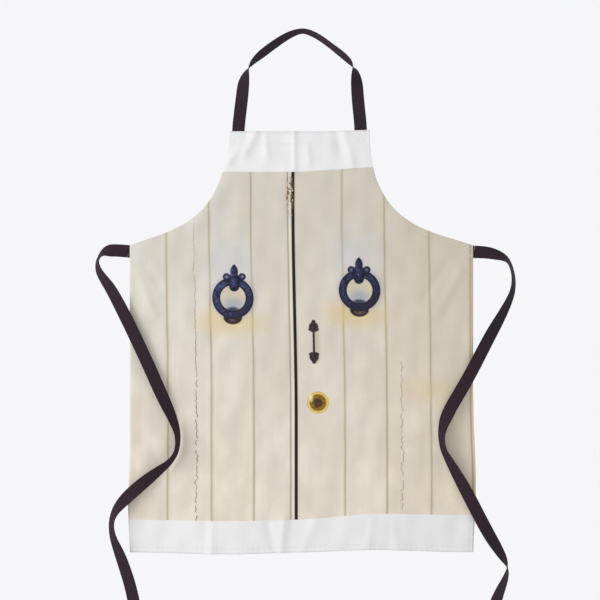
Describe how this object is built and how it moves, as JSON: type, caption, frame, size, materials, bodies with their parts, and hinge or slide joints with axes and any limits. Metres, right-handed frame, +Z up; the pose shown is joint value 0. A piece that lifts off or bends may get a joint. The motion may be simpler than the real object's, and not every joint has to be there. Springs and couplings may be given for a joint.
{
  "type": "bib apron",
  "caption": "Printed bib apron hanging by its tape neck strap, with turned and stitched hems and long waist ties.",
  "frame": {"origin": "underside of the neck strap's crown, where a hook carries the apron", "axes": "+Z up, -Y towards the printed front, +X to the right seen from the front"},
  "size_m": [0.7714, 0.0285, 1.1881],
  "materials": {
    "printed_cloth": "printed poly-cotton twill, matte",
    "white_cloth": "unprinted poly-cotton twill, matte",
    "dark_tape": "dyed twill tape, soft sheen",
    "white_thread": "spun polyester sewing thread",
    "dark_thread": "spun polyester sewing thread"
  },
  "bodies": {
    "neck_loop": {"neck_strap": "dark_tape"},
    "apron_body": {"front_panel": "printed_cloth", "top_hem": "white_cloth", "bottom_hem": "white_cloth", "left_side_hem": "printed_cloth", "right_side_hem": "printed_cloth", "left_armhole_hem": "printed_cloth", "right_armhole_hem": "printed_cloth", "top_stitching": "white_thread", "bottom_stitching": "white_thread", "left_side_stitching": "white_thread", "right_side_stitching": "white_thread", "left_armhole_stitching": "white_thread", "right_armhole_stitching": "white_thread", "neck_strap_left_box_stitch": "white_thread", "neck_strap_right_box_stitch": "white_thread", "left_tie_box_stitch": "white_thread", "right_tie_box_stitch": "white_thread", "neck_strap_left_end": "dark_tape", "neck_strap_right_end": "dark_tape", "left_tie_sewn_end": "dark_tape", "right_tie_sewn_end": "dark_tape"},
    "left_tie": {"left_waist_tie": "dark_tape", "left_tie_end_hem": "dark_tape", "left_tie_end_stitching": "dark_thread"},
    "right_tie": {"right_waist_tie": "dark_tape", "right_tie_end_hem": "dark_tape", "right_tie_end_stitching": "dark_thread"}
  },
  "joints": [
    {"name": "bib_fold", "type": "hinge", "parent": "neck_loop", "child": "apron_body", "pos_m": [0, 0, -0.18], "axis": [1, 0, 0], "range_deg": [-90, 90]},
    {"name": "left_tie_wrap", "type": "hinge", "parent": "apron_body", "child": "left_tie", "pos_m": [-0.312, 0.0022, -0.397], "axis": [0, 0, -1], "range_deg": [0, 100]},
    {"name": "right_tie_wrap", "type": "hinge", "parent": "apron_body", "child": "right_tie", "pos_m": [0.312, 0.0022, -0.397], "axis": [0, 0, 1], "range_deg": [0, 100]}
  ]
}
